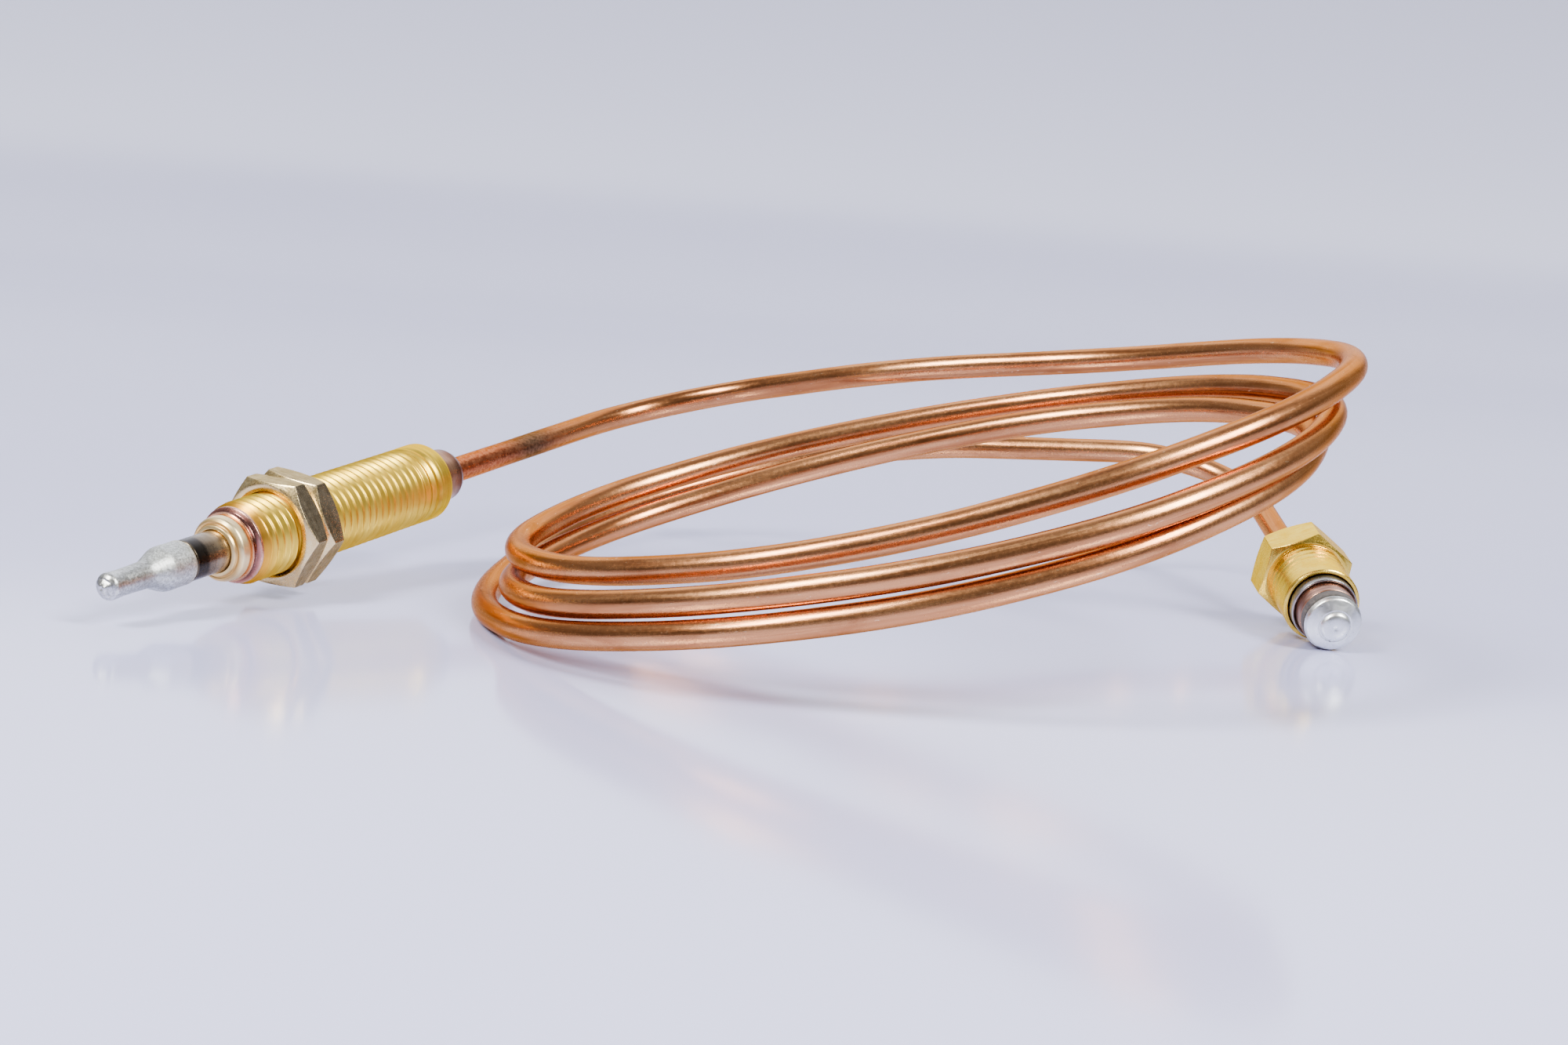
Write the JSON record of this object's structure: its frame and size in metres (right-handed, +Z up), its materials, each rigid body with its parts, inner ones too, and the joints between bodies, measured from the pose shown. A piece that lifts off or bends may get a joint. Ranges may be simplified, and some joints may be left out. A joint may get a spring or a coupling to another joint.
{
  "type": "thermocouple",
  "caption": "Gas boiler thermocouple: probe in a threaded brass sleeve with lock nuts, coiled copper lead, and a union nut with a tinned contact.",
  "frame": {"origin": "on the ground plane, under the middle of the whole part", "axes": "+Z up from the surface the part lies on, +X from the probe's side to the union nut's side, -Y towards the free ends of the probe and the contact"},
  "size_m": [0.1202, 0.0936, 0.0323],
  "materials": {
    "hot_tip": "matt, bright where it has been ground",
    "tip_weld": "bright weld metal",
    "element_sheath": "darkened by heat",
    "ceramic_white": "unglazed ceramic",
    "constantan": "drawn wire",
    "braze_collar": "pale braze, heat tinted",
    "collar_ring": "turned, tinted purple and copper by heat",
    "sleeve_brass": "bright turned thread",
    "nut_brass": "pale brass, brushed flats",
    "ferrule": "brown oxide",
    "splice": "crimped tube",
    "sleeving": "woven glass sleeving",
    "copper": "bright drawn copper tube",
    "core_cover": "woven insulation",
    "core_copper": "copper wire",
    "union_brass": "bright turned brass",
    "flare_brass": "turned brass",
    "cup_copper": "tarnished copper",
    "bush": "moulded insulation",
    "seat_ring": "grey metal",
    "washer": "dark fibre",
    "tinned": "bright tin",
    "solder": "bright solder"
  },
  "bodies": {
    "thermocouple": {"threaded_sleeve": "sleeve_brass", "collar_ring": "collar_ring", "braze_collar": "braze_collar", "element_sheath": "element_sheath", "hot_tip": "hot_tip", "tip_weld": "tip_weld", "electrode_insulator": "ceramic_white", "inner_electrode": "constantan", "rear_ferrule": "ferrule", "splice_barrel": "splice", "splice_insulator": "sleeving", "copper_lead": "copper", "lead_insulation": "core_cover", "lead_core": "core_copper", "flare_collar": "flare_brass", "copper_cup": "cup_copper", "insulating_bush": "bush", "seat_ring": "seat_ring", "insulating_washer": "washer", "contact_button": "tinned", "solder_bead": "solder"},
    "rear_nut": {"rear_lock_nut": "nut_brass"},
    "front_nut": {"front_lock_nut": "nut_brass"},
    "union": {"union_nut": "union_brass"}
  },
  "joints": [
    {"name": "rear_nut_travel", "type": "slide", "parent": "thermocouple", "child": "rear_nut", "axis": [-0.466, -0.8764, -0.1219], "range_m": [-0.0175, 0]},
    {"name": "front_nut_gap", "type": "slide", "parent": "rear_nut", "child": "front_nut", "axis": [-0.466, -0.8764, -0.1219], "range_m": [0, 0.004]},
    {"name": "union_nut_spin", "type": "hinge", "parent": "thermocouple", "child": "union", "pos_m": [0.05485, 0.01941, 0.00643], "axis": [0.1018, -0.969, -0.225], "continuous": true}
  ]
}
